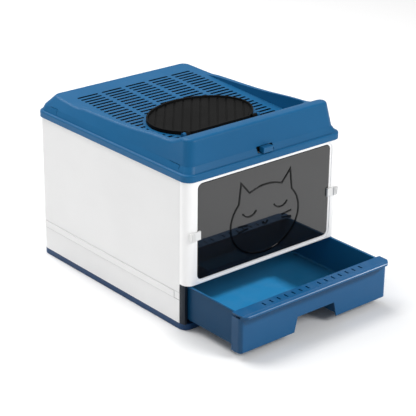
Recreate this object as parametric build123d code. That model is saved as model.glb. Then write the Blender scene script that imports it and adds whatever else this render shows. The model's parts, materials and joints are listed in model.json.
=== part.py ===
from build123d import *
import math
import os

# A cat litter box with a pull-out litter drawer, a smoked front door and a lift-off top cover with an
# entry hatch.  Millimetres.  X runs to the right along the front, Y to the back, Z up.  The origin is the
# centre of the base's underside.  The drawer is drawn pulled out, as it stands at rest.

# ---- cabinet ----
body_width = 409.0            # across the side panels
body_depth = 504.0            # front frame to back panel
body_corner = 18.0            # plan radius of the upright corners
panel_top = 320.0             # height of the panels' and the frame's upper edge
panel_wall = 3.0
side_front_setback = 24.0     # side panels' front edge behind the frame's face
side_return = 34.0            # how far a side panel turns round the back corner
butt_gap = 0.4                # seam between panels that meet edge to edge
strip_low = 65.0              # raised strip along each side panel
strip_high = 80.0
strip_proud = 2.0
strip_front_setback = 39.0    # strip's front end behind the frame's face
strip_back_setback = 14.0     # strip's rear end ahead of the back panel's face
edge_round = 1.2              # small round on exposed moulded edges
cut_overrun = 1.0             # how far a cutting shape runs past the surface it cuts

# ---- base tray ----
base_height = 13.5
base_front_setback = 7.0      # the tray stops this far behind the front frame's face
base_rim = 14.0
base_floor = 3.0
tongue_depth = 6.0            # how deep panels and rails stand in the tray's grooves
tongue_wall = 1.6
tongue_inset = 0.9            # tongue's outer face behind the panel's outer face
seat_gap = 0.2                # clearance all round a tongue or lap joint

# ---- drawer rails ----
rail_wall = 4.6
rail_to_panel = 1.4           # air between a rail's web and the side panel
rail_over_tub = 1.0           # rail's upper edge above the tub's rim
rail_ledge_width = 14.0
rail_ledge_thick = 4.0
rail_ledge_top = 20.0
rail_back_gap = 15.5          # rail's rear end to the back panel, clear of the panels' round corner
rail_tongue_offset = 1.5
post_setback = 10.0           # front of the rail's corner post behind the frame's face
post_inset = 1.0              # post's outer face inside the frame's outer face

# ---- front frame ----
frame_over_tub = 2.5          # frame's lower edge above the drawer tub's rim
frame_wall = 3.5
lap_wall = 1.5                # side panel's lip behind the frame's wrapped edge
lap_reach = 6.5
lap_root = 13.0
lap_end_gap = 12.0            # lip ends this far from the frame's lower and upper edges
door_recess_depth = 1.6
door_recess_border = 5.0      # recess floor showing round the door opening

# ---- front door ----
door_side_margin = 28.0       # door's side edges inside the body's sides
door_bottom_margin = 9.5      # door's lower edge above the frame's lower edge
door_top_margin = 8.0         # door's upper edge below the panels' upper edge
door_corner = 11.0
door_wall = 3.5
door_gap = 1.0                # air round the door in its opening
door_proud = 0.2              # door face in front of the recess floor
door_edge_break = 0.6         # small chamfer round the door's face
door_pin_radius = 1.9
door_pin_below_top = 6.0      # hinge axis below the door's upper edge
door_pin_setback = 3.0        # hinge axis behind the door's front face
door_knuckle_radius = 3.6
door_knuckle_length = 14.0
door_knuckle_inset = 5.0      # knuckle's end inside the door's edge, clear of the round opening corner
door_pin_embed = 16.0         # length of each pin inside the door's edge
door_pin_reach = 5.5          # length of each pin beyond the door's edge
socket_wall = 2.4             # plastic round a pin in the frame's sockets
socket_length = 7.5
socket_end = 1.0              # plastic that closes a socket's far end
running_gap = 0.05            # radial clearance of a pin that turns
press_gap = 0.0               # radial clearance of a pin that is held fast

# ---- relief on the door: a plain cat's head in raised line ----
relief_below_center = 16.0    # middle of the head below the middle of the door
relief_line = 3.2
relief_proud = 1.1
head_half_width = 92.0
head_half_height = 74.0
ear_tip_out = 66.0
ear_tip_up = 91.0
ear_outer_angle = 39.0        # where the ear's lines leave the head's oval, up from its side
ear_inner_angle = 62.0
eye_out = 42.0
eye_up = 24.0
eye_half_width = 18.0
eye_drop = 10.0
nose_half_width = 6.0
nose_down = 6.0
whisker_start = 72.0
whisker_length = 26.0
whisker_spread = 13.0
whisker_down = 8.0

# ---- door clips ----
clip_below_center = 5.0       # middle of a clip below the middle of the door
clip_height = 18.0
clip_lap = 4.5                # how far a clip laps the door
clip_grip_inset = 6.5         # grip's outer side inside the body's side
clip_grip_width = 10.0
clip_grip_proud = 6.0
clip_tab_thick = 2.4
clip_travel = 4.8
clip_face_gap = 0.4
clip_step_gap = 0.4
clip_grip_lean = 1.2          # grip's back leans off the frame's rounded corner
clip_stem_width = 5.0
clip_stem_height = 8.0
clip_stem_inset = 7.0         # stem's outer side inside the grip's outer side
clip_groove_count = 2         # upright finger grooves in the grip
clip_groove_width = 2.0
clip_groove_depth = 1.6
keeper_thick = 2.0
keeper_border = 3.0
keeper_gap = 0.4
stem_gap = 0.4

# ---- drawer ----
drawer_out = 138.5            # how far the drawer is pulled out at rest
tub_side_inset = 12.0         # tub's outer side inside the body's side
tub_low = 20.6
tub_high = 97.0
tub_wall = 2.5
tub_corner = 14.0
tub_floor_round = 5.0
tub_back_setback = 9.0        # tub's rear face ahead of the back panel's face, drawer shut
tub_rim_out = 2.0
tub_rim_thick = 3.0
fascia_proud = 16.5           # fascia's face ahead of the frame's face, drawer shut
fascia_side_inset = 4.5       # fascia's sides inside the body's sides
fascia_low = 16.0
fascia_to_ledge = 0.4
fascia_wall = 2.5
fascia_return = 26.0
fascia_corner = 8.0
fascia_to_tub = 0.5
notch_half_low = 58.0
notch_half_high = 50.0
notch_top = 49.0
pocket_depth = 45.0           # finger pocket behind the notch, from the fascia's face
pocket_clear = 2.0            # pocket stands this far outside the notch
ledge_side_out = 1.0          # ledge's ends beyond the fascia's sides
ledge_over_tub = 2.0          # ledge's flat top above the tub's rim
ledge_back_reach = 24.0       # ledge's rear edge behind the fascia's face
ledge_nose_reach = 10.0       # ledge's nose ahead of the fascia's face
ledge_step = 6.5              # flat top ends this far behind the nose
ledge_step_drop = 2.2
ledge_depth = 8.0             # flat top down to the nose's underside
ledge_plate = 3.0
ledge_corner = 16.0           # plan radius of the ledge's front corners
ledge_slots_per_side = 7
ledge_slot_first = 15.5
ledge_slot_pitch = 19.3
ledge_slot_length = 12.0
ledge_slot_width = 4.0
ledge_slot_setback = 5.0      # slots' front ends behind the fascia's face

# ---- top cover ----
cover_gap = 0.3               # cover above the panels
flange_height = 15.0          # flange's upper edge above the panels
flange_out = 3.0
flange_round = 4.0
flange_wall = 4.5
cover_wall = 2.6
cover_height = 79.0           # top of the front band above the panels
skirt_height = 12.0           # the flared skirt ends this far above the flange
skirt_inset = 9.0             # how far the skirt has come in at its upper edge
skirt_back_inset = 6.0        # the same at the back
crest_inset = 17.0            # how far the walls have come in at the top, front and front corners
crest_back_inset = 49.0       # the same at the back, were the walls that high
cover_corner = 18.0
crest_at = 30.0               # the band is level from the front edge back to here
rim_round = 8.0
recess_front_setback = 70.0   # front wall of the well behind the frame's face
recess_front_inset = 28.0     # well's sides inside the body's sides, at its front
recess_back_setback = 41.0
recess_back_inset = 36.0
recess_corner = 20.0
platform_drop = 42.0          # platform's middle below the top of the band
platform_slope = 0.06
lip_inset = 4.5               # locating lip inside the panels
lip_wall = 2.0
lip_depth = 7.0               # lip's lower edge below the panels' upper edge
lip_shelf = 2.7
slot_columns = 5
slot_pitch_x = 63.5
slot_length = 53.0
slot_width = 6.2
slot_end_flat = 0.2           # straight part of a slot's end between its two rounds
slot_pitch_y = 13.5
slot_rows = 27
slot_first_setback = 75.0     # rearmost row of slots ahead of the back panel's face
slot_margin = 5.0             # plain border inside the recess walls
slit_width = 1.2
slit_side_depth = 25.0
front_slit = (33.0, 64.0)     # front and rear end of the level cut, behind the frame's face
front_slit_heights = (4.0, 12.0)    # lower end of the leg and the level cut, above the flange
rear_slit = (39.0, 64.0)      # rear and front end of the level cut, ahead of the back panel's face
rear_slit_heights = (0.5, 13.0)

# ---- hatch in the cover ----
hatch_center = -44.0
hatch_half_x = 126.0
hatch_half_y = 86.0
hatch_chord_ahead = 69.0      # straight front edge ahead of the hatch's centre
hatch_seat = 0.6              # hatch above the platform
hatch_plate = 3.6
hatch_rim_width = 3.4
hatch_rim_height = 7.4
hatch_overlap = 7.0           # hatch beyond the hole, all round
hatch_slot_border = 6.0       # plain platform round the hatch
groove_angle = 40.0           # ribs' direction off the depth axis
groove_pitch = 18.2
groove_width = 4.0
groove_depth = 1.6
hinge_behind_chord = 1.6      # hinge axis behind the straight edge, which swings down ahead of it
hinge_up = 5.0                # hinge axis above the platform
hinge_pin_radius = 2.0
lug_inner = 84.0
lug_width = 11.0
lug_radius = 4.2
lug_arm = 12.6                # lug's arm back to the hatch's oval edge
boss_gap = 0.6
boss_length = 7.0
boss_half = 4.6
boss_border = 11.0            # plain platform round a boss
pin_end_gap = 1.0

# ---- cover latch ----
latch_opening_half = 21.5
latch_half = 12.5
latch_over_flange = 2.0       # opening's lower edge above the flange
latch_height = 13.0
latch_gap = 0.6
latch_proud = 7.0             # button in front of the cover's front wall
latch_keeper_half = 24.5
latch_keeper_thick = 2.4
latch_keeper_gap = 0.7

# ---- where the parts above come to stand ----
half_width = body_width / 2
half_depth = body_depth / 2
front_face = -half_depth
side_front = front_face + side_front_setback
strip_front = front_face + strip_front_setback
strip_back = half_depth - strip_back_setback
rail_outer = half_width - panel_wall - rail_to_panel
rail_inner = rail_outer - rail_wall
rail_top = tub_high + rail_over_tub
rail_back = half_depth - panel_wall - rail_back_gap
frame_bottom = tub_high + frame_over_tub
door_half = half_width - door_side_margin
door_low = frame_bottom + door_bottom_margin
door_high = panel_top - door_top_margin
door_middle = (door_low + door_high) / 2
opening_half = door_half + door_gap
recess_floor = front_face + door_recess_depth
door_front = recess_floor - door_proud
door_axis_y = door_front + door_pin_setback
door_axis_z = door_high - door_pin_below_top
clip_middle = door_middle - clip_below_center
grip_outer = half_width - clip_grip_inset
grip_inner = grip_outer - clip_grip_width
stem_outer = grip_outer - clip_stem_inset
tub_side = half_width - tub_side_inset
fascia_half = half_width - fascia_side_inset
fascia_front = front_face - fascia_proud - drawer_out
tub_front = fascia_front + fascia_wall + fascia_to_tub
tub_back = half_depth - tub_back_setback - drawer_out
ledge_half = fascia_half + ledge_side_out
ledge_top = tub_high + ledge_over_tub
ledge_low = ledge_top - ledge_depth
ledge_back = fascia_front + ledge_back_reach
fascia_high = ledge_low - fascia_to_ledge
flange_top = panel_top + flange_height
cover_top = panel_top + cover_height
skirt_top = flange_top + skirt_height
crest_front = front_face + crest_at
recess_front = front_face + recess_front_setback
recess_back = half_depth - recess_back_setback
recess_front_half = half_width - recess_front_inset
recess_back_half = half_width - recess_back_inset
platform_center = cover_top - platform_drop
platform_tilt = math.degrees(math.atan(platform_slope))
hatch_chord = hatch_center - hatch_chord_ahead
hatch_span = hatch_half_x + hatch_half_y
hinge_at = hatch_chord + hinge_behind_chord
lug_outer = lug_inner + lug_width
boss_inner = lug_outer + boss_gap
boss_outer = boss_inner + boss_length
latch_low = flange_top + latch_over_flange
latch_high = latch_low + latch_height

# the curved rims of the cover: share of the body's depth behind the frame's face, and drop below the band's top
rim_line = [
    (0.125, 11.2),
    (0.22, 17.5),
    (0.40, 25.0),
    (0.73, 31.5),
]
rim_back_drop = 28.5          # rims at the very back, below the band's top


def block(x0, x1, y0, y1, z0, z1):
    """A plain box between two opposite corners."""
    return Pos((x0 + x1) / 2, (y0 + y1) / 2, (z0 + z1) / 2) * Box(abs(x1 - x0), abs(y1 - y0), abs(z1 - z0))


def slab(half, front, back, low, high, corner):
    """An upright slab, centred on X, with rounded plan corners."""
    outline = Pos(0, (front + back) / 2, low) * RectangleRounded(2 * half, back - front, corner)
    return extrude(outline, amount=high - low, dir=(0, 0, 1))


def wall_ring(inset, thick, low, high):
    """A ring of upright wall that follows the body's outline at an inset from it."""
    outer = slab(half_width - inset, front_face + inset, half_depth - inset, low, high, body_corner - inset)
    deep = inset + thick
    inner = slab(half_width - deep, front_face + deep, half_depth - deep, low, high, body_corner - deep)
    return outer - inner


def rod_x(x0, x1, y, z, radius):
    """A round rod along X."""
    return Pos((x0 + x1) / 2, y, z) * Rot(0, 90, 0) * Cylinder(radius, abs(x1 - x0))


def mirrored(solid):
    """The same piece for the other side of the box."""
    return mirror(solid, about=Plane.YZ)


def profile_x(points, half):
    """A closed outline of (y, z) points, carried along X to both sides."""
    face = make_face(Polyline(*[(0, y, z) for y, z in points], close=True))
    return Pos(-half, 0, 0) * extrude(face, amount=2 * half, dir=(1, 0, 0))


def under_edges(solid):
    """The edges round a solid's underside."""
    return solid.faces().sort_by(Axis.Z)[0].edges()


# ---- base tray and rails ----

def rail_tongue(clearance):
    """The tongue under the left rail, or its groove when a clearance is given."""
    x0 = -rail_outer + rail_tongue_offset - clearance
    x1 = x0 + tongue_wall + 2 * clearance
    low = base_height - tongue_depth - clearance
    return block(x0, x1, side_front - clearance, rail_back + clearance, low, base_height)


def panel_tongue(clearance):
    """The ring of tongue under the side and back panels, or its groove."""
    low = base_height - tongue_depth - clearance
    ring = wall_ring(tongue_inset - clearance, tongue_wall + 2 * clearance, low, base_height)
    return ring & block(-half_width, half_width, side_front - clearance, half_depth, low, base_height)


def make_base_tray():
    """Shallow floor tray with a wide rim; grooves in the rim hold the panels and the drawer rails."""
    front = front_face + base_front_setback
    tray = slab(half_width, front, half_depth, 0, base_height, body_corner)
    tray = fillet(under_edges(tray), edge_round)
    inner = half_width - base_rim
    tray -= slab(inner, front + base_rim, half_depth - base_rim, base_floor, base_height, body_corner / 2)
    tray -= panel_tongue(seat_gap)
    groove = rail_tongue(seat_gap)
    return tray - groove - mirrored(groove)


def make_left_rail():
    """Drawer rail: upright web, ledge under the tub and a rounded corner post at the front."""
    rail = block(-rail_outer, -rail_inner, side_front, rail_back, base_height, rail_top)
    ledge_under = rail_ledge_top - rail_ledge_thick
    rail += block(-rail_inner, -rail_inner + rail_ledge_width, side_front, rail_back, ledge_under, rail_ledge_top)
    column = slab(half_width - post_inset, front_face + post_inset, half_depth, base_height, frame_bottom,
                  body_corner - post_inset)
    post_back = side_front - butt_gap
    column &= block(-half_width, -rail_inner, front_face + post_setback, post_back, base_height, frame_bottom)
    neck = block(-rail_outer, -rail_inner, post_back, side_front, base_height, rail_top)
    return rail + column + neck + rail_tongue(0)


# ---- panels and front frame ----

def make_left_panel():
    """Side panel that turns round the back corner, with a raised strip, a tongue and a front lap lip."""
    region = block(-half_width, -half_width + side_return, side_front, half_depth, 0, panel_top)
    panel = wall_ring(0, panel_wall, base_height, panel_top) & region
    panel += panel_tongue(0) & region
    strip = Pos(-half_width, (strip_back + strip_front) / 2, (strip_low + strip_high) / 2)
    strip *= Rot(0, -90, 0) * RectangleRounded(strip_high - strip_low, strip_back - strip_front, edge_round)
    strip = extrude(strip, amount=strip_proud, dir=(-1, 0, 0))
    strip = chamfer(strip.faces().sort_by(Axis.X)[0].edges(), strip_proud / 2)
    panel += strip
    lap_outer = half_width - frame_wall - seat_gap
    lap_inner = lap_outer - lap_wall
    low = frame_bottom + lap_end_gap
    high = panel_top - lap_end_gap
    panel += block(-half_width + panel_wall, -lap_inner, side_front, side_front + lap_root, low, high)
    panel += block(-lap_outer, -lap_inner, side_front - lap_reach, side_front, low, high)
    return panel


def make_back_panel():
    """Plain back panel between the side panels' returns, with its tongue."""
    half = half_width - side_return - butt_gap
    region = block(-half, half, half_depth - panel_wall, half_depth, 0, panel_top)
    return (wall_ring(0, panel_wall, base_height, panel_top) + panel_tongue(0)) & region


def door_outline(grow, y):
    """The door's rounded outline, grown by a margin, on an upright plane at the given depth."""
    sketch = RectangleRounded(2 * (door_half + grow), door_high - door_low + 2 * grow, door_corner + grow)
    return Pos(0, y, door_middle) * Rot(90, 0, 0) * sketch


def clip_slot():
    """The slot in the frame that the left clip's stem slides in."""
    x0 = -stem_outer - clip_travel - stem_gap
    x1 = -stem_outer + clip_stem_width + stem_gap
    half = clip_stem_height / 2 + stem_gap
    return block(x0, x1, front_face - cut_overrun, keeper_front(), clip_middle - half, clip_middle + half)


def make_front_frame():
    """Front frame: wraps both front corners; holds the door in a shallow recess on two pin sockets."""
    outer = slab(half_width, front_face, half_depth, frame_bottom, panel_top, body_corner)
    outer = fillet(under_edges(outer), edge_round)
    inner = slab(half_width - frame_wall, front_face + frame_wall, half_depth, frame_bottom, panel_top,
                 body_corner - frame_wall)
    frame = outer - inner
    frame &= block(-half_width, half_width, front_face, side_front - butt_gap, frame_bottom, panel_top)
    cut_from = front_face - cut_overrun
    frame -= extrude(door_outline(door_gap, cut_from), amount=frame_wall + 2 * cut_overrun, dir=(0, 1, 0))
    recess = door_outline(door_gap + door_recess_border, cut_from)
    frame -= extrude(recess, amount=door_recess_depth + cut_overrun, dir=(0, 1, 0))
    slot = clip_slot()
    frame -= slot
    frame -= mirrored(slot)
    socket_radius = door_pin_radius + running_gap
    half = socket_radius + socket_wall
    socket = block(-opening_half - socket_length, -opening_half, recess_floor, door_axis_y + half,
                   door_axis_z - half, door_axis_z + half)
    frame += socket
    frame += mirrored(socket)
    bore = rod_x(-opening_half - socket_length + socket_end, -opening_half + door_corner / 2, door_axis_y,
                 door_axis_z, socket_radius)
    frame -= bore
    return frame - mirrored(bore)


# ---- door ----

def relief_lines():
    """Centre lines of the cat's head, about its own centre: oval, two ears, eyes, nose and whiskers."""
    def on_oval(angle):
        a = math.radians(angle)
        return (head_half_width * math.cos(a), head_half_height * math.sin(a))

    lines = [EllipticalCenterArc((0, 0), head_half_width, head_half_height, 180 - ear_outer_angle,
                                 arc_size=180 + 2 * ear_outer_angle)]
    lines += [EllipticalCenterArc((0, 0), head_half_width, head_half_height, ear_inner_angle,
                                  arc_size=180 - 2 * ear_inner_angle)]
    outer_foot = on_oval(ear_outer_angle)
    inner_foot = on_oval(ear_inner_angle)
    for side in (-1, 1):
        tip = (side * ear_tip_out, ear_tip_up)
        lines += [Line((side * outer_foot[0], outer_foot[1]), tip)]
        lines += [Line(tip, (side * inner_foot[0], inner_foot[1]))]
        left = (side * eye_out - eye_half_width, eye_up)
        right = (side * eye_out + eye_half_width, eye_up)
        lines += [ThreePointArc(left, (side * eye_out, eye_up - eye_drop), right)]
        for spread in (-0.5, 0.5):
            start = (side * whisker_start, -whisker_down + spread * whisker_spread)
            end = (side * (whisker_start - whisker_length), -whisker_down + spread * whisker_spread / 2)
            lines += [Line(start, end)]
    lines += [ThreePointArc((-nose_half_width, -nose_down), (0, -nose_down - nose_half_width),
                            (nose_half_width, -nose_down))]
    return lines


def make_front_door():
    """Smoked door plate with a line relief and a knuckle behind each upper corner."""
    plate = extrude(door_outline(0, door_front), amount=door_wall, dir=(0, 1, 0))
    plate = chamfer(plate.faces().sort_by(Axis.Y)[0].edges(), door_edge_break)
    strokes = trace(relief_lines(), line_width=relief_line)
    place = Pos(0, door_front, door_middle - relief_below_center) * Rot(90, 0, 0)
    plate += extrude(place * strokes, amount=relief_proud, dir=(0, -1, 0))
    knuckle_end = -door_half + door_knuckle_inset
    knuckle = rod_x(knuckle_end, knuckle_end + door_knuckle_length, door_axis_y, door_axis_z, door_knuckle_radius)
    knuckle &= block(-door_half, door_half, door_front + door_edge_break, half_depth, 0, panel_top)
    hole = rod_x(-door_half - cut_overrun, -door_half + door_pin_embed, door_axis_y, door_axis_z,
                 door_pin_radius + press_gap)
    for piece in (knuckle, mirrored(knuckle)):
        plate += piece
    for piece in (hole, mirrored(hole)):
        plate -= piece
    return plate


def make_door_hinge_pins():
    """Two short pins, pressed into the door's edges, that turn in the frame's sockets."""
    pin = rod_x(-door_half - door_pin_reach, -door_half + door_pin_embed, door_axis_y, door_axis_z,
                door_pin_radius)
    return Compound(children=[pin, mirrored(pin)])


# ---- door clips ----

def make_left_clip():
    """Sliding clip: grooved grip, a tab that laps the door's edge and a stem through the frame."""
    face = front_face - clip_face_gap
    tab_end = -door_half + clip_lap
    step = -opening_half + clip_step_gap
    over_door = door_front - clip_face_gap
    grip_face = front_face - clip_grip_proud
    outline = [(tab_end, over_door), (step, over_door), (step, face), (-grip_inner, face),
               (-grip_outer, face + clip_grip_lean), (-grip_outer, grip_face), (-grip_inner, grip_face),
               (-grip_inner, face - clip_tab_thick), (tab_end, face - clip_tab_thick)]
    low = clip_middle - clip_height / 2
    high = clip_middle + clip_height / 2
    sketch = make_face(Polyline(*[(x, y, low) for x, y in outline], close=True))
    clip = extrude(sketch, amount=clip_height, dir=(0, 0, 1))
    pitch = clip_grip_width / clip_groove_count
    for groove in range(clip_groove_count):
        x = -grip_outer + pitch * (groove + 0.5)
        clip -= block(x - clip_groove_width / 2, x + clip_groove_width / 2, grip_face,
                      grip_face + clip_groove_depth, low, high)
    half = clip_stem_height / 2
    clip += block(-stem_outer, -stem_outer + clip_stem_width, face - clip_tab_thick / 2,
                  keeper_front() + keeper_thick, clip_middle - half, clip_middle + half)
    return clip


def keeper_front():
    """Depth of the keeper's front face, clear of the frame's round inner corner with the clip slid out."""
    inner_radius = body_corner - frame_wall
    reach = stem_outer + clip_travel - (half_width - body_corner)
    return front_face + frame_wall + inner_radius - math.sqrt(inner_radius ** 2 - reach ** 2) + keeper_gap


def make_left_keeper():
    """Square keeper on the end of the clip's stem, behind the frame."""
    front = keeper_front()
    back = front + keeper_thick
    half = clip_stem_height / 2
    tall = half + keeper_border
    inner = -stem_outer + clip_stem_width
    plate = block(-stem_outer, inner + keeper_border, front, back, clip_middle - tall, clip_middle + tall)
    return plate - block(-stem_outer, inner, front, back, clip_middle - half, clip_middle + half)


# ---- drawer ----

def trapezoid(grow, low, front, depth):
    """The handle notch's outline, grown by a margin, carried back from a depth."""
    points = [(-notch_half_low - grow, low), (notch_half_low + grow, low),
              (notch_half_high + grow, notch_top + grow), (-notch_half_high - grow, notch_top + grow)]
    face = make_face(Polyline(*[(x, front, z) for x, z in points], close=True))
    return extrude(face, amount=depth, dir=(0, 1, 0))


def pocket(grow, front, back):
    """The finger pocket behind the notch: a tapered tunnel, grown by a margin."""
    return trapezoid(grow, tub_low - cut_overrun, front, back - front)


def make_drawer_tub():
    """Deep litter tub with a rolled rim and a finger pocket moulded into its front."""
    tub = slab(tub_side, tub_front, tub_back, tub_low, tub_high, tub_corner)
    tub = fillet(under_edges(tub), tub_floor_round)
    rim_half = tub_side + tub_rim_out
    tub += slab(rim_half, tub_front, tub_back + tub_rim_out, tub_high - tub_rim_thick, tub_high,
                tub_corner + tub_rim_out)
    cavity = slab(tub_side - tub_wall, tub_front + tub_wall, tub_back - tub_wall, tub_low + tub_wall,
                  tub_high + cut_overrun, tub_corner - tub_wall)
    cavity = fillet(under_edges(cavity), tub_floor_round - tub_wall / 2)
    mouth = tub_front - cut_overrun
    pocket_back = fascia_front + pocket_depth
    cavity -= pocket(pocket_clear + tub_wall, mouth, pocket_back + tub_wall)
    tub -= cavity
    tub -= pocket(pocket_clear, mouth, pocket_back)
    under_ledge = ledge_top - ledge_plate
    return tub - block(-rim_half, rim_half, mouth, ledge_back + seat_gap, under_ledge, tub_high + cut_overrun)


def make_drawer_fascia():
    """Front cover of the drawer with wrapped sides and a handle notch in its lower edge."""
    back = fascia_front + fascia_return
    far = back + fascia_return
    outer = slab(fascia_half, fascia_front, far, fascia_low, fascia_high, fascia_corner)
    outer = fillet(under_edges(outer), edge_round)
    inner = slab(fascia_half - fascia_wall, fascia_front + fascia_wall, far + fascia_return,
                 fascia_low - cut_overrun, fascia_high + cut_overrun, fascia_corner - fascia_wall)
    shell = (outer - inner) & block(-fascia_half, fascia_half, fascia_front, back, fascia_low, fascia_high)
    mouth = fascia_front - cut_overrun
    return shell - trapezoid(0, fascia_low - cut_overrun, mouth, fascia_wall + 2 * cut_overrun)


def make_drawer_ledge():
    """Slotted ledge that caps the tub's front and the fascia, with a stepped round nose."""
    nose = fascia_front - ledge_nose_reach
    plate_low = ledge_top - ledge_plate
    flat_end = nose + ledge_step
    step = ledge_top - ledge_step_drop
    shoulder = ledge_step_drop / 2
    points = [(ledge_back, ledge_top), (flat_end + shoulder, ledge_top), (flat_end, step), (nose + shoulder, step),
              (nose, step - shoulder), (nose, ledge_low + shoulder), (nose + shoulder, ledge_low),
              (fascia_front + shoulder, ledge_low), (fascia_front + shoulder, plate_low),
              (ledge_back, plate_low)]
    ledge = profile_x(points, ledge_half)
    ledge &= slab(ledge_half, nose, ledge_back + 2 * ledge_corner, ledge_low, ledge_top, ledge_corner)
    slot_front = fascia_front + ledge_slot_setback
    for side in (-1, 1):
        for k in range(ledge_slots_per_side):
            x = side * (ledge_slot_first + k * ledge_slot_pitch)
            ledge -= block(x - ledge_slot_width / 2, x + ledge_slot_width / 2, slot_front,
                           slot_front + ledge_slot_length, plate_low, ledge_top)
    return ledge


# ---- top cover ----

def rounded_quad(front, front_half, back, back_half, height, corner):
    """A level four-sided outline, wider or narrower at the back, with rounded corners."""
    points = [(-front_half, front), (front_half, front), (back_half, back), (-back_half, back)]
    face = make_face(Polyline(*[(x, y, height) for x, y in points], close=True))
    return fillet(face.vertices(), corner)


def hill_section(front_inset, back_inset, height, corner):
    """A level cut through the hill, in from the body's outline by one inset in front, another behind."""
    return rounded_quad(front_face + front_inset, half_width - front_inset, half_depth - back_inset,
                        half_width - back_inset, height, corner)


def cover_hill(inset):
    """The cover's hill: a flared skirt, then four steeper leaning walls, cut by the curved rim line."""
    corner = cover_corner - inset
    foot = hill_section(inset, inset, flange_top - flange_round, corner)
    waist = hill_section(skirt_inset + inset, skirt_back_inset + inset, skirt_top, corner)
    crest = hill_section(crest_inset + inset, crest_back_inset + inset, cover_top + cut_overrun, corner)
    hill = loft([foot, waist], ruled=True) + loft([waist, crest], ruled=True)
    return hill - above_rim(inset)


def above_rim(drop):
    """Everything above the rim line: level over the band's crest, then an S curve down to the back."""
    far = body_depth
    high = 2 * cover_top
    start = (0, crest_front, cover_top - drop)
    end = (0, half_depth, cover_top - rim_back_drop - drop)
    middle = [(0, front_face + share * body_depth, cover_top - fall - drop) for share, fall in rim_line]
    curve = Spline(start, *middle, end, tangents=[(0, 1, 0), (0, 1, platform_slope)])
    outline = curve + Polyline(end, (0, far, end[2]), (0, far, high), (0, -far, high), (0, -far, start[2]), start)
    return Pos(-half_width, 0, 0) * extrude(make_face(outline), amount=body_width, dir=(1, 0, 0))


def platform_height(y):
    """Height of the sloping platform's upper face."""
    return platform_center + platform_slope * y


def cover_recess(grow, low):
    """The well above the platform, grown sideways and with its floor lowered."""
    high = 2 * cover_top
    well = extrude(rounded_quad(recess_front - grow, recess_front_half + grow, recess_back + grow,
                                recess_back_half + grow, 0, recess_corner + grow), amount=high, dir=(0, 0, 1))
    far = body_depth
    points = [(-far, platform_height(-far) - low), (far, platform_height(far) - low), (far, high), (-far, high)]
    return well & profile_x(points, half_width)


def hatch_outline(grow):
    """The hatch's plan: an ellipse with a straight chord at the front, grown by a margin."""
    oval = Pos(0, hatch_center) * Ellipse(hatch_half_x + grow, hatch_half_y + grow)
    keep = Pos(0, hatch_chord - grow + hatch_span) * Rectangle(2 * hatch_span, 2 * hatch_span)
    return oval & keep


def slot_pattern():
    """Rows of slots across the platform, clipped round the hatch and inside the recess."""
    slots = Sketch()
    for row in range(slot_rows):
        for column in range(slot_columns):
            x = (column - (slot_columns - 1) / 2) * slot_pitch_x
            y = half_depth - slot_first_setback - row * slot_pitch_y
            slots += Pos(x, y) * RectangleRounded(slot_length, slot_width, (slot_width - slot_end_flat) / 2)
    field = rounded_quad(recess_front + slot_margin, recess_front_half - slot_margin,
                         recess_back - slot_margin, recess_back_half - slot_margin, 0, recess_corner)
    bosses = Sketch()
    for side in (-1, 1):
        bosses += Pos(side * (lug_outer + lug_inner) / 2, hinge_at) * Rectangle(
            lug_width + 2 * boss_border, 4 * lug_radius)
    return (slots & field) - hatch_outline(hatch_slot_border) - bosses


def on_platform(piece):
    """Lay a piece drawn about the origin on the sloping platform."""
    return Pos(0, 0, platform_center) * Rot(platform_tilt, 0, 0) * piece


def slit(leg_at, far_end, heights):
    """An L-shaped slit through the left side wall: a level cut and a short upright leg at one end."""
    outer = half_width + flange_out + cut_overrun
    inner = half_width - slit_side_depth
    low = flange_top + heights[0]
    top = flange_top + heights[1] + slit_width / 2
    level = block(-outer, -inner, leg_at, far_end, top - slit_width, top)
    return level + block(-outer, -inner, leg_at, leg_at + slit_width, low, top)


def make_top_cover():
    """Lift-off cover: flange, leaning walls, front band, curved rims and a slotted platform with a hatch
    hole; hollow underneath, with a lip that drops inside the panels."""
    low = panel_top + cover_gap
    flange = slab(half_width + flange_out, front_face - flange_out, half_depth + flange_out, low, flange_top,
                  body_corner + flange_out)
    flange = fillet(flange.faces().sort_by(Axis.Z)[-1].edges(), flange_round)
    hill = cover_hill(0)
    hill = fillet(rim_edges(hill), rim_round)
    hill &= block(-body_width, 0, -body_depth, body_depth, 0, 2 * cover_top)
    hill += mirrored(hill)
    cover = flange + hill - cover_recess(0, 0)
    hollow = cover_hill(cover_wall) - cover_recess(cover_wall, cover_wall)
    inner = flange_wall - flange_out
    hollow += slab(half_width - inner, front_face + inner, half_depth - inner, low,
                   flange_top - flange_round + cut_overrun, body_corner - inner)
    cover -= hollow
    shelf_top = low + lip_shelf
    cover += wall_ring(lip_inset, lip_wall, panel_top - lip_depth, shelf_top)
    cover += wall_ring(inner - cut_overrun, lip_inset + lip_wall / 2 - inner + cut_overrun, low, shelf_top)
    depth = 4 * cover_wall
    floor_low = platform_height(recess_front) - depth
    pattern_height = platform_height(recess_back) + depth - floor_low
    cover -= extrude(Pos(0, 0, floor_low) * slot_pattern(), amount=pattern_height, dir=(0, 0, 1))
    hole = hatch_outline(-hatch_overlap)
    cover -= on_platform(Pos(0, 0, -depth) * extrude(hole, amount=2 * depth, dir=(0, 0, 1)))
    for boss in hatch_bosses():
        cover += boss
    for bore in hatch_rods(running_gap):
        cover -= bore
    cover -= block(-latch_opening_half, latch_opening_half, front_face - cut_overrun, latch_keeper_front(),
                   latch_low, latch_high)
    front_cut = slit(front_face + front_slit[0], front_face + front_slit[1], front_slit_heights)
    rear_cut = slit(half_depth - rear_slit[1], half_depth - rear_slit[0], rear_slit_heights)
    for cut in (front_cut, rear_cut, mirrored(front_cut), mirrored(rear_cut)):
        cover -= cut
    return cover


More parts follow.
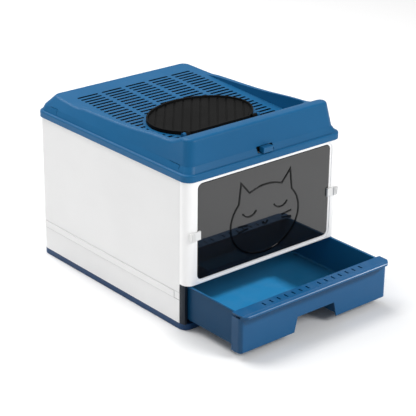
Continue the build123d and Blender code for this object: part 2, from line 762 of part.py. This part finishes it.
def rim_edges(hill):
    """The upper outer edges of the hill: all round its upward-looking faces but not between them."""
    top = [f for f in hill.faces() if f.normal_at(f.center()).Z > math.cos(math.radians(25))]
    edges = ShapeList([e for f in top for e in f.edges()])
    across = [e for e in edges if abs(e.center().X) < half_width / 2]
    inner = [e for e in across if front_face + crest_inset + 1 < e.center().Y < recess_back]
    return ShapeList([e for e in edges if e not in inner])


def hatch_bosses():
    """Two small bosses on the platform that carry the hatch's pins."""
    bosses = []
    for side in (-1, 1):
        x0 = side * boss_inner
        x1 = side * boss_outer
        body = block(x0, x1, hinge_at - boss_half, hinge_at + boss_half, -cover_wall / 2, hinge_up)
        head = rod_x(x0, x1, hinge_at, hinge_up, boss_half)
        bosses.append(on_platform(body + head))
    return bosses


def hatch_rods(clearance):
    """The hatch's two pins, or the bores they turn in when a clearance is given."""
    rods = []
    for side in (-1, 1):
        x0 = side * (lug_inner + pin_end_gap)
        x1 = side * (boss_outer - pin_end_gap)
        rods.append(on_platform(rod_x(x0, x1, hinge_at, hinge_up, hinge_pin_radius + clearance)))
    return rods


def make_top_hatch():
    """Oval hatch: ribbed plate, raised rim, straight hinge side with two lugs."""
    sketch = hatch_outline(0)
    plate = extrude(Pos(0, 0, hatch_seat) * sketch, amount=hatch_plate, dir=(0, 0, 1))
    rim = extrude(Pos(0, 0, hatch_seat) * (sketch - hatch_outline(-hatch_rim_width)),
                  amount=hatch_rim_height, dir=(0, 0, 1))
    count = int(hatch_span / groove_pitch)
    top = hatch_seat + hatch_plate
    inside = extrude(Pos(0, 0, top - groove_depth) * hatch_outline(-hatch_rim_width - groove_width / 2),
                     amount=groove_depth, dir=(0, 0, 1))
    bars = Part()
    for k in range(-count, count + 1):
        bars += Pos(k * groove_pitch, 0, top) * Box(groove_width, 2 * hatch_span, 4 * groove_depth)
    bars = Pos(0, hatch_center, 0) * Rot(0, 0, -groove_angle) * bars
    hatch = plate - (bars & inside) + rim
    for side in (-1, 1):
        x0 = side * lug_inner
        x1 = side * lug_outer
        hatch += rod_x(x0, x1, hinge_at, hinge_up, lug_radius)
        hatch += block(x0, x1, hinge_at, hinge_at + lug_arm, hinge_up - lug_radius, hinge_up)
    hatch = on_platform(hatch)
    for bore in hatch_rods(press_gap):
        hatch -= bore
    return hatch


def make_hatch_hinge_pins():
    """Two pins, pressed into the hatch's lugs, that turn in the cover's bosses."""
    return Compound(children=hatch_rods(0))


def skirt_lean(height):
    """How far the outside of the cover's front has come in at a height."""
    foot = flange_top - flange_round
    if height < skirt_top:
        return skirt_inset * (height - foot) / (skirt_top - foot)
    share = (height - skirt_top) / (cover_top + cut_overrun - skirt_top)
    return skirt_inset + (crest_inset - skirt_inset) * share


def latch_keeper_front():
    """Depth of the latch keeper's front face, behind the cover's front wall."""
    return front_face + skirt_lean(latch_high) + cover_wall + latch_keeper_gap


def make_lid_latch():
    """Push button in the cover's front wall, with a keeper flange behind the wall."""
    low = latch_low + latch_gap
    high = latch_high - latch_gap
    keeper = latch_keeper_front()
    keeper_end = keeper + latch_keeper_thick
    button = block(-latch_half, latch_half, front_face - latch_proud + skirt_lean(latch_low), keeper_end, low, high)
    button = fillet(button.faces().sort_by(Axis.Y)[0].edges(), edge_round)
    return button + block(-latch_keeper_half, latch_keeper_half, keeper, keeper_end, low, high)


left_panel = make_left_panel()
left_rail = make_left_rail()
left_clip = make_left_clip()
left_keeper = make_left_keeper()

parts = {
    "base_tray": make_base_tray(),
    "left_side_panel": left_panel,
    "right_side_panel": mirrored(left_panel),
    "back_panel": make_back_panel(),
    "front_frame": make_front_frame(),
    "left_drawer_rail": left_rail,
    "right_drawer_rail": mirrored(left_rail),
    "drawer_tub": make_drawer_tub(),
    "drawer_fascia": make_drawer_fascia(),
    "drawer_ledge": make_drawer_ledge(),
    "front_door": make_front_door(),
    "door_hinge_pins": make_door_hinge_pins(),
    "left_door_clip": left_clip,
    "right_door_clip": mirrored(left_clip),
    "left_clip_keeper": left_keeper,
    "right_clip_keeper": mirrored(left_keeper),
    "top_cover": make_top_cover(),
    "top_hatch": make_top_hatch(),
    "hatch_hinge_pins": make_hatch_hinge_pins(),
    "lid_latch": make_lid_latch(),
}

os.makedirs("parts", exist_ok=True)
for node, solid in parts.items():
    export_step(solid, f"parts/{node}.step")
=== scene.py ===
import json
import math

import bpy
import numpy as np
from mathutils import Matrix, Vector

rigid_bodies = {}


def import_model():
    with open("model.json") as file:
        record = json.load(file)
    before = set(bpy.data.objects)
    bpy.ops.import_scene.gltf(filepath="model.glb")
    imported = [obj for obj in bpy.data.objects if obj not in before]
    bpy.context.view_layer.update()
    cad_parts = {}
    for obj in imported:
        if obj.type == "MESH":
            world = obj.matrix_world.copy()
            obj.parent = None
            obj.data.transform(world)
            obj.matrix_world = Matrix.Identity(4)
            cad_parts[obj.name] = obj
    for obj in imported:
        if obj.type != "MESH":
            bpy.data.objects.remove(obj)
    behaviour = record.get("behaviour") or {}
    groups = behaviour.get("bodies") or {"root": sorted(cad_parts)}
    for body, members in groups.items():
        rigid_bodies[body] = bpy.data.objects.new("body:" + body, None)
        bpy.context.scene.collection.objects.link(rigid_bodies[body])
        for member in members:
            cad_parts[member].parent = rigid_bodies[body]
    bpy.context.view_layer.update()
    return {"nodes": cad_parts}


for leftover in list(bpy.data.objects):
    bpy.data.objects.remove(leftover)

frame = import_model()
nodes = frame["nodes"]

# ---------------------------------------------------------------------------
# Camera: a long lens a little over three metres off, looking down on the box's
# left front corner from above its lid. Its values come from fitting the box's
# straight edges to the photo's frame of 416 x 416 pixels.
# ---------------------------------------------------------------------------
camera_azimuth = math.radians(-40.34)
camera_elevation = math.radians(23.12)
camera_roll = math.radians(0.62)
camera_distance = 3.20769
camera_target = Vector((0.05718, -0.005, 0.11894))
photo_size = 416
focal_pixels = 1471.32
sensor_width = 36.0
view_depth = 50.0

back = Vector((
    math.sin(camera_azimuth) * math.cos(camera_elevation),
    -math.cos(camera_azimuth) * math.cos(camera_elevation),
    math.sin(camera_elevation),
))
level_right = (-back).cross(Vector((0.0, 0.0, 1.0))).normalized()
level_up = level_right.cross(-back)
right = level_right * math.cos(camera_roll) + level_up * math.sin(camera_roll)
up = level_up * math.cos(camera_roll) - level_right * math.sin(camera_roll)
lens = bpy.data.cameras.new("photo_camera")
lens.sensor_width = sensor_width
lens.lens = focal_pixels / photo_size * sensor_width
lens.clip_end = view_depth
camera = bpy.data.objects.new("photo_camera", lens)
camera.matrix_world = Matrix.Translation(camera_target + back * camera_distance) @ Matrix(
    (right, up, back)
).transposed().to_4x4()
bpy.context.scene.collection.objects.link(camera)
bpy.context.scene.camera = camera
bpy.context.scene.view_settings.view_transform = "Standard"

# ---------------------------------------------------------------------------
# Studio: a white paper sweep under an even sky, with a soft box high on the
# front right, a weak one on the left for the side wall, and a wide one behind
# and overhead for the paper. A small lamp far out on the right shines into the
# tub over its right-hand wall, and is flagged off everything but the drawer.
# ---------------------------------------------------------------------------
floor_half = 14.0
floor_drop = 0.0004
paper_white = (0.96, 0.96, 0.96, 1.0)
paper_rough = 0.8
paper_sheen = 0.1
sky_white = (1.0, 1.0, 1.0, 1.0)
sky_level = 0.39
lamps = (
    # name, place in metres, side in metres, power in watts
    ("key_softbox", Vector((1.2, -3.6, 2.6)), 1.6, 92.0),
    ("left_softbox", Vector((-4.0, -0.6, 1.1)), 3.0, 6.0),
    ("overhead_softbox", Vector((-0.6, 1.6, 3.2)), 3.0, 128.0),
    ("side_lamp", Vector((3.4, -1.6, 2.05)), 0.4, 400.0),
)

floor_mesh = bpy.data.meshes.new("studio_floor")
corners = np.array([[-1, -1, 0], [1, -1, 0], [1, 1, 0], [-1, 1, 0]]) * floor_half
corners[:, 2] = -floor_drop
floor_mesh.from_pydata(corners.tolist(), [], [[0, 1, 2, 3]])
floor = bpy.data.objects.new("studio_floor", floor_mesh)
bpy.context.scene.collection.objects.link(floor)
paper = bpy.data.materials.new("studio_paper")
paper.use_nodes = True
paper_shader = paper.node_tree.nodes["Principled BSDF"]
paper_shader.inputs["Base Color"].default_value = paper_white
paper_shader.inputs["Roughness"].default_value = paper_rough
paper_shader.inputs["Specular IOR Level"].default_value = paper_sheen
floor_mesh.materials.append(paper)

sky = bpy.data.worlds.new("studio_sky")
sky.use_nodes = True
sky.node_tree.nodes["Background"].inputs["Color"].default_value = sky_white
sky.node_tree.nodes["Background"].inputs["Strength"].default_value = sky_level
bpy.context.scene.world = sky

for name, place, side, watts in lamps:
    lamp = bpy.data.lights.new(name, "AREA")
    lamp.size = side
    lamp.energy = watts
    holder = bpy.data.objects.new(name, lamp)
    holder.matrix_world = Matrix.Translation(place) @ place.to_track_quat("Z", "Y").to_matrix().to_4x4()
    bpy.context.scene.collection.objects.link(holder)

lit_pieces = bpy.data.collections.new("lit_by_side_lamp")
for name in ("drawer_tub", "drawer_fascia", "drawer_ledge"):
    lit_pieces.objects.link(nodes[name])
bpy.data.objects["side_lamp"].light_linking.receiver_collection = lit_pieces


# ---------------------------------------------------------------------------
# Cabinet walls: two side panels and a back panel, injection moulded in white
# polypropylene, butted together and snapped into the tray. Satin outside, with
# the fine even grain of an etched mould.
# ---------------------------------------------------------------------------
class Wire:
    """One output socket of a node tree. Sums, differences and products of wires and numbers add
    Math nodes, and node() adds any other node."""

    def __init__(self, tree, socket=None):
        self.tree = tree
        self.socket = socket

    def node(self, kind, settings=None, inputs=None, output=0):
        """Adds a node of one kind: its settings first, then the values or wires of its sockets."""
        made = self.tree.nodes.new("ShaderNode" + kind)
        for name, value in (settings or {}).items():
            setattr(made, name, value)
        for name, value in (inputs or {}).items():
            if isinstance(value, Wire):
                self.tree.links.new(value.socket, made.inputs[name])
            else:
                made.inputs[name].default_value = value
        return Wire(self.tree, made.outputs[output])

    def math(self, operation, *values):
        """A Math node on its values, in their order."""
        return self.node("Math", {"operation": operation}, dict(enumerate(values)))

    def __add__(self, other):
        return self.math("ADD", self, other)

    def __sub__(self, other):
        return self.math("SUBTRACT", self, other)

    def __rsub__(self, other):
        return self.math("SUBTRACT", other, self)

    def __mul__(self, other):
        return self.math("MULTIPLY", self, other)

    __radd__ = __add__
    __rmul__ = __mul__

    def __abs__(self):
        return self.math("ABSOLUTE", self)

    def clamp(self):
        """The value, held between 0 and 1."""
        return self.node("Clamp", inputs={"Value": self})

    def rise(self, low, high):
        """A smooth step from 0 at low to 1 at high."""
        return self.node(
            "MapRange",
            {"interpolation_type": "SMOOTHSTEP"},
            {"Value": self, "From Min": low, "From Max": high},
        )

    def along(self, axis):
        """One part of a vector: X, Y or Z."""
        return self.node("SeparateXYZ", inputs={"Vector": self}, output=axis)

    def tint(self, share, first, second):
        """A colour between first and second by share. The Mix node's colour sockets share their
        names with its others, so they go by number."""
        return self.node("Mix", {"data_type": "RGBA"}, {"Factor": share, 6: first, 7: second}, output=2)


def shade(display):
    """Linear colour, with alpha, of three display values from 0 to 255, by the sRGB curve."""
    level = np.array(display, float) / 255.0
    linear = np.where(level <= 0.04045, level / 12.92, ((level + 0.055) / 1.055) ** 2.4)
    return (*linear.tolist(), 1.0)


drift_noise = {"Scale": 5.5, "Detail": 4.0, "Roughness": 0.55}
marks_noise = {"Scale": 34.0, "Detail": 5.0, "Roughness": 0.62, "Distortion": 0.35}
grain_noise = {"Scale": 1150.0, "Detail": 2.0, "Roughness": 0.5}
scratch_noise = {"Scale": 1.0, "Detail": 2.0, "Roughness": 0.5}
scratch_run = {"Rotation": (0.35, 0.2, 0.9), "Scale": (520.0, 26.0, 240.0)}
dust_colour = (150, 150, 148)
worn_lift = 26
marks_rough, drift_rough, scratch_rough, dust_rough = 0.16, 0.08, 0.18, 1.6
grain_strength, grain_depth = 0.55, 0.00006
drift_height, scratch_height = 5.0, 2.0
plastic_ior = 1.49


def finish_surface(name, colour, aged, rough, grain, dust=0.03, scuff=0.15, sheen=0.5,
                   region=None, painted_shade_colour=None):
    """Moulded plastic: a slow drift between the fresh and the aged colour, mould grain in the
    bump, handling marks in the roughness, fine drawn scratches and settled dust on level faces.
    A region, given by a function of the place's x, y and z, takes a darker colour of its own as painted
    shade."""
    material = bpy.data.materials.new(name)
    material.use_nodes = True
    tree = material.node_tree
    shader = tree.nodes["Principled BSDF"]
    start = Wire(tree)
    place = start.node("TexCoord", output="Object")
    drift = start.node("TexNoise", inputs={"Vector": place, **drift_noise})
    marks = start.node("TexNoise", inputs={"Vector": place, **marks_noise})
    fine = start.node("TexNoise", inputs={"Vector": place, **grain_noise})
    drawn = start.node("Mapping", inputs={"Vector": place, **scratch_run})
    streaks = start.node("TexNoise", inputs={"Vector": drawn, **scratch_noise})
    scratch = streaks.rise(0.70, 0.80) * marks.rise(0.50, 0.66)
    level = start.node("NewGeometry", output="Normal").along("Z").rise(0.75, 0.99)
    settled = level * marks.rise(0.35, 0.75)
    worn = (scratch * scuff).clamp()

    base = start.tint(drift.rise(0.30, 0.72), shade(colour), shade(aged))
    if region:
        mask = region(place.along("X"), place.along("Y"), place.along("Z"))
        base = start.tint(mask.clamp(), base, shade(painted_shade_colour))
    pale = start.tint(worn, base, shade([min(255, value + worn_lift) for value in colour]))
    dusty = start.tint(settled * dust, pale, shade(dust_colour))
    tree.links.new(dusty.socket, shader.inputs["Base Color"])

    roughness = (
        (marks - 0.5) * marks_rough + (drift - 0.5) * drift_rough
        + scratch * scratch_rough + settled * (dust * dust_rough) + rough
    )
    tree.links.new(roughness.clamp().socket, shader.inputs["Roughness"])
    relief = start.node("Bump", inputs={
        "Strength": grain_strength,
        "Distance": grain_depth * grain,
        "Height": fine + drift * drift_height - scratch * scratch_height,
    })
    tree.links.new(relief.socket, shader.inputs["Normal"])
    shader.inputs["IOR"].default_value = plastic_ior
    shader.inputs["Specular IOR Level"].default_value = sheen
    return material


def dress(material, *names):
    """Gives a finish to CAD nodes."""
    for name in names:
        nodes[name].data.materials.clear()
        nodes[name].data.materials.append(material)


# Here and below, a pair of places in metres is where a region's mask runs from 0 to 1.
wall_outside = (0.2035, 0.2042)
low_line_starts, low_line_ends = (0.0630, 0.0644), (0.0656, 0.0650)
high_line_starts, high_line_ends = (0.0796, 0.0802), (0.0814, 0.0808)
high_line_share = 0.6


def strip_edge_painted_shade(x, y, z):
    """Painted shade: fine grey lines along the raised strip's two long edges, low on both side panels.
    """
    low = z.rise(*low_line_starts) * z.rise(*low_line_ends)
    high = z.rise(*high_line_starts) * z.rise(*high_line_ends)
    return abs(x).rise(*wall_outside) * (low + high * high_line_share)


# The strip's edges carry painted shade as fine grey lines.
cabinet_white = finish_surface(
    "cabinet_white", colour=(233, 233, 233), aged=(230, 230, 230), rough=0.42, grain=1.0,
    region=strip_edge_painted_shade, painted_shade_colour=(176, 176, 176),
)
dress(cabinet_white, "left_side_panel", "right_side_panel", "back_panel")

# ---------------------------------------------------------------------------
# Front frame: polypropylene in one moulding that wraps both front corners and is
# snapped over the side panels' lips. Its colour is set a shade whiter than the
# walls' as painted light, for the brighter lit front.
# ---------------------------------------------------------------------------
# The frame's whiter colour is painted light for the brightly lit front.
frame_white_painted_lit = finish_surface(
    "frame_white_painted_lit", colour=(251, 251, 251), aged=(249, 249, 249), rough=0.40, grain=1.0,
)
dress(frame_white_painted_lit, "front_frame")

# ---------------------------------------------------------------------------
# Base tray: the deep blue floor that the walls stand in, moulded in one piece
# with a turned-up rim.
# ---------------------------------------------------------------------------
tray_blue = finish_surface(
    "tray_blue", colour=(12, 58, 100), aged=(10, 52, 92), rough=0.36, grain=1.0, sheen=0.3,
)
dress(tray_blue, "base_tray")

# ---------------------------------------------------------------------------
# Drawer rails: slate-coloured runners inside the side walls, whose front ends
# show as posts under the frame.
# ---------------------------------------------------------------------------
rail_slate = finish_surface(
    "rail_slate", colour=(22, 32, 44), aged=(19, 28, 39), rough=0.4, grain=1.0, sheen=0.25,
)
dress(rail_slate, "left_drawer_rail", "right_drawer_rail")

# ---------------------------------------------------------------------------
# Drawer front: the front plate and the slotted ledge that caps it, clipped to
# the tub, in blue polypropylene with the cabinet's grain.
# ---------------------------------------------------------------------------
drawer_blue = finish_surface(
    "drawer_blue", colour=(11, 66, 104), aged=(10, 62, 99), rough=0.36, grain=1.0, sheen=0.25,
)
dress(drawer_blue, "drawer_fascia", "drawer_ledge")

# ---------------------------------------------------------------------------
# Litter tub: a deep open box that runs on the rails, in blue polypropylene of a
# finer grain. Its faces that show below the rim are painted darker as painted
# shade.
# ---------------------------------------------------------------------------
tub_side_face = (0.1905, 0.1915)
tub_front_face = (-0.4020, -0.4030)
tub_under_face = (0.0225, 0.0215)
pocket_half, pocket_back, pocket_top = (0.0612, 0.0606), (-0.3598, -0.3606), (0.0522, 0.0516)


def tub_outside_painted_shade(x, y, z):
    """Painted shade on the tub's outer faces: its sides, its front and underside, and the finger pocket.
    """
    in_pocket = abs(x).rise(*pocket_half) * y.rise(*pocket_back) * z.rise(*pocket_top)
    return abs(x).rise(*tub_side_face) + y.rise(*tub_front_face) + z.rise(*tub_under_face) + in_pocket


tub_blue = finish_surface(
    "tub_blue", colour=(28, 104, 148), aged=(26, 99, 142), rough=0.42, grain=0.5, scuff=0.05, sheen=0.15,
    region=tub_outside_painted_shade, painted_shade_colour=(6, 58, 92),
)
dress(tub_blue, "drawer_tub")

# ---------------------------------------------------------------------------
# Swing door: one plate of smoked polystyrene, polished on both faces, with a
# cat's face drawn on it in raised lines, which are painted near black as
# painted shade. Hung on two pins at its top corners.
# ---------------------------------------------------------------------------
smoke_fresh, smoke_smeared, stroke_painted_shade = (20, 21, 23), (24, 25, 27), (3, 3, 4)
smear_noise = {"Scale": 16.0, "Detail": 4.0, "Roughness": 0.6, "Distortion": 0.8}
pane_scratch_run = {"Rotation": (0.0, 0.6, 0.0), "Scale": (640.0, 40.0, 30.0)}
pane_face, stroke_face = -0.2508, -0.2512
pane_rough, smear_rough, pane_scratch_rough = 0.035, 0.05, 0.10
polish = 0.9
pane_ior, polish_ior, polish_rough = 1.3, 1.66, 0.03
pane_alpha = 0.93

smoked = bpy.data.materials.new("smoked_clear")
smoked.use_nodes = True
smoked_shader = smoked.node_tree.nodes["Principled BSDF"]
pane = Wire(smoked.node_tree)
pane_place = pane.node("TexCoord", output="Object")
smear = pane.node("TexNoise", inputs={"Vector": pane_place, **smear_noise})
pane_drawn = pane.node("Mapping", inputs={"Vector": pane_place, **pane_scratch_run})
pane_scratch = pane.node("TexNoise", inputs={"Vector": pane_drawn, **scratch_noise}).rise(0.72, 0.80)
on_stroke = pane_place.along("Y").rise(pane_face, stroke_face)
smoke = pane.tint(smear.rise(0.35, 0.7), shade(smoke_fresh), shade(smoke_smeared))
# The raised lines are painted near black as painted shade.
smoke = pane.tint(on_stroke, smoke, shade(stroke_painted_shade))
smoked.node_tree.links.new(smoke.socket, smoked_shader.inputs["Base Color"])
smoke_rough = smear.rise(0.45, 0.8) * smear_rough + pane_scratch * pane_scratch_rough + pane_rough
smoked.node_tree.links.new(smoke_rough.socket, smoked_shader.inputs["Roughness"])
smoked.node_tree.links.new((on_stroke * -polish + polish).socket, smoked_shader.inputs["Coat Weight"])
smoked_shader.inputs["IOR"].default_value = pane_ior
smoked_shader.inputs["Coat IOR"].default_value = polish_ior
smoked_shader.inputs["Coat Roughness"].default_value = polish_rough
smoked_shader.inputs["Alpha"].default_value = pane_alpha
dress(smoked, "front_door")

# ---------------------------------------------------------------------------
# Door clips: small white sliders that lap the door's edges to lock it, each
# held by a keeper behind the frame.
# ---------------------------------------------------------------------------
clip_white = finish_surface(
    "clip_white", colour=(238, 238, 238), aged=(233, 233, 232), rough=0.38, grain=0.6,
)
dress(clip_white, "left_door_clip", "right_door_clip", "left_clip_keeper", "right_clip_keeper")

# ---------------------------------------------------------------------------
# Top cover: the large blue lid, one thin moulding with leaning walls, curved
# rims and a vented platform, whose slot walls are painted near black as
# painted shade.
# ---------------------------------------------------------------------------
deck_rear, deck_half, deck_edge = 0.200, 0.172, 0.001
deck_top, deck_slope, deck_wall = 0.357, 0.06, 0.0026
walls_top, walls_foot = (0.0004, 0.0002), (-0.002 - deck_wall, -0.001 - deck_wall)
upright_normal = (0.5, 0.3)


def slot_walls_painted_shade(x, y, z):
    """Painted shade on the upright faces of the platform, from its top face to its underside: the
    walls of its slots and of its hole. The platform rises towards the back by its slope."""
    below_top = z - y * deck_slope - deck_top
    between = below_top.rise(*walls_top) * below_top.rise(*walls_foot)
    upright = abs(z.node("NewGeometry", output="Normal").along("Z")).rise(*upright_normal)
    in_width = abs(x).rise(deck_half, deck_half - deck_edge)
    in_length = abs(y).rise(deck_rear, deck_rear - deck_edge)
    return between * upright * in_width * in_length


cover_blue = finish_surface(
    "cover_blue", colour=(17, 93, 140), aged=(15, 89, 135), rough=0.42, grain=0.8, sheen=0.22,
    region=slot_walls_painted_shade, painted_shade_colour=(3, 12, 20),
)
dress(cover_blue, "top_cover")

# ---------------------------------------------------------------------------
# Latch: a small push button of the cover's blue in the middle of its front
# wall, on a tongue whose part behind the wall is painted near black as
# painted shade.
# ---------------------------------------------------------------------------
wall_inside = (-0.2435, -0.2425)


def behind_wall_painted_shade(x, y, z):
    """Painted shade on the part of the latch behind the cover's front wall."""
    return y.rise(*wall_inside)


latch_blue = finish_surface(
    "latch_blue", colour=(17, 93, 140), aged=(15, 89, 135), rough=0.30, grain=0.8, sheen=0.3,
    region=behind_wall_painted_shade, painted_shade_colour=(3, 10, 16),
)
dress(latch_blue, "lid_latch")

# ---------------------------------------------------------------------------
# Hatch: the black oval lid over the cat's way in, with broad diagonal ribs.
# A coarser, drier grain than the blue parts, so that paws hold on it.
# ---------------------------------------------------------------------------
hatch_black = finish_surface(
    "hatch_black", colour=(26, 26, 26), aged=(22, 22, 22), rough=0.46, grain=1.6, dust=0.01, sheen=0.03,
)
dress(hatch_black, "top_hatch")

# ---------------------------------------------------------------------------
# Hinge pins: black nylon, smooth, hidden in the door's corners and in the
# hatch's lugs.
# ---------------------------------------------------------------------------
pin_black = finish_surface("pin_black", colour=(24, 24, 26), aged=(20, 20, 22), rough=0.3, grain=0.3)
dress(pin_black, "door_hinge_pins", "hatch_hinge_pins")
